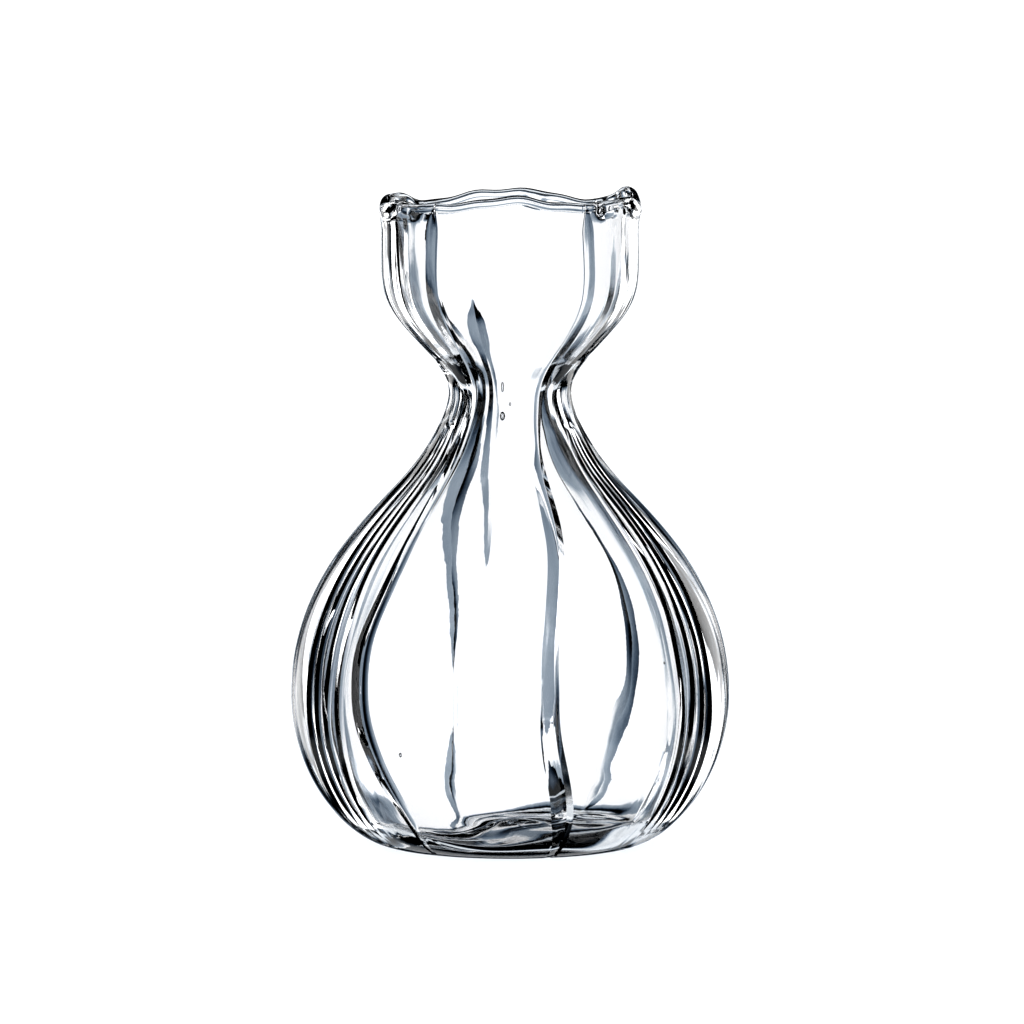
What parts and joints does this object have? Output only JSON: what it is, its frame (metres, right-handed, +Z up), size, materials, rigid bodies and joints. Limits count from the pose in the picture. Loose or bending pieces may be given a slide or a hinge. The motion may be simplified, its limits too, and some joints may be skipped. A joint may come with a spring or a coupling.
{
  "type": "bud vase",
  "caption": "Clear blown-glass bud vase with a wavy cup mouth, a pinched neck, a ribbed onion-shaped bulb and a flat foot.",
  "frame": {"origin": "centre of the flat foot, on the surface that the vase stands on", "axes": "+Z up along the vase's axis to the lip; -Y is the side with a rim lobe at its middle; +X to the right of that side"},
  "size_m": [0.0668, 0.0673, 0.1],
  "materials": {
    "clear_glass": "clear, fire-polished"
  },
  "bodies": {
    "root": {"vase_glass": "clear_glass"}
  },
  "joints": []
}
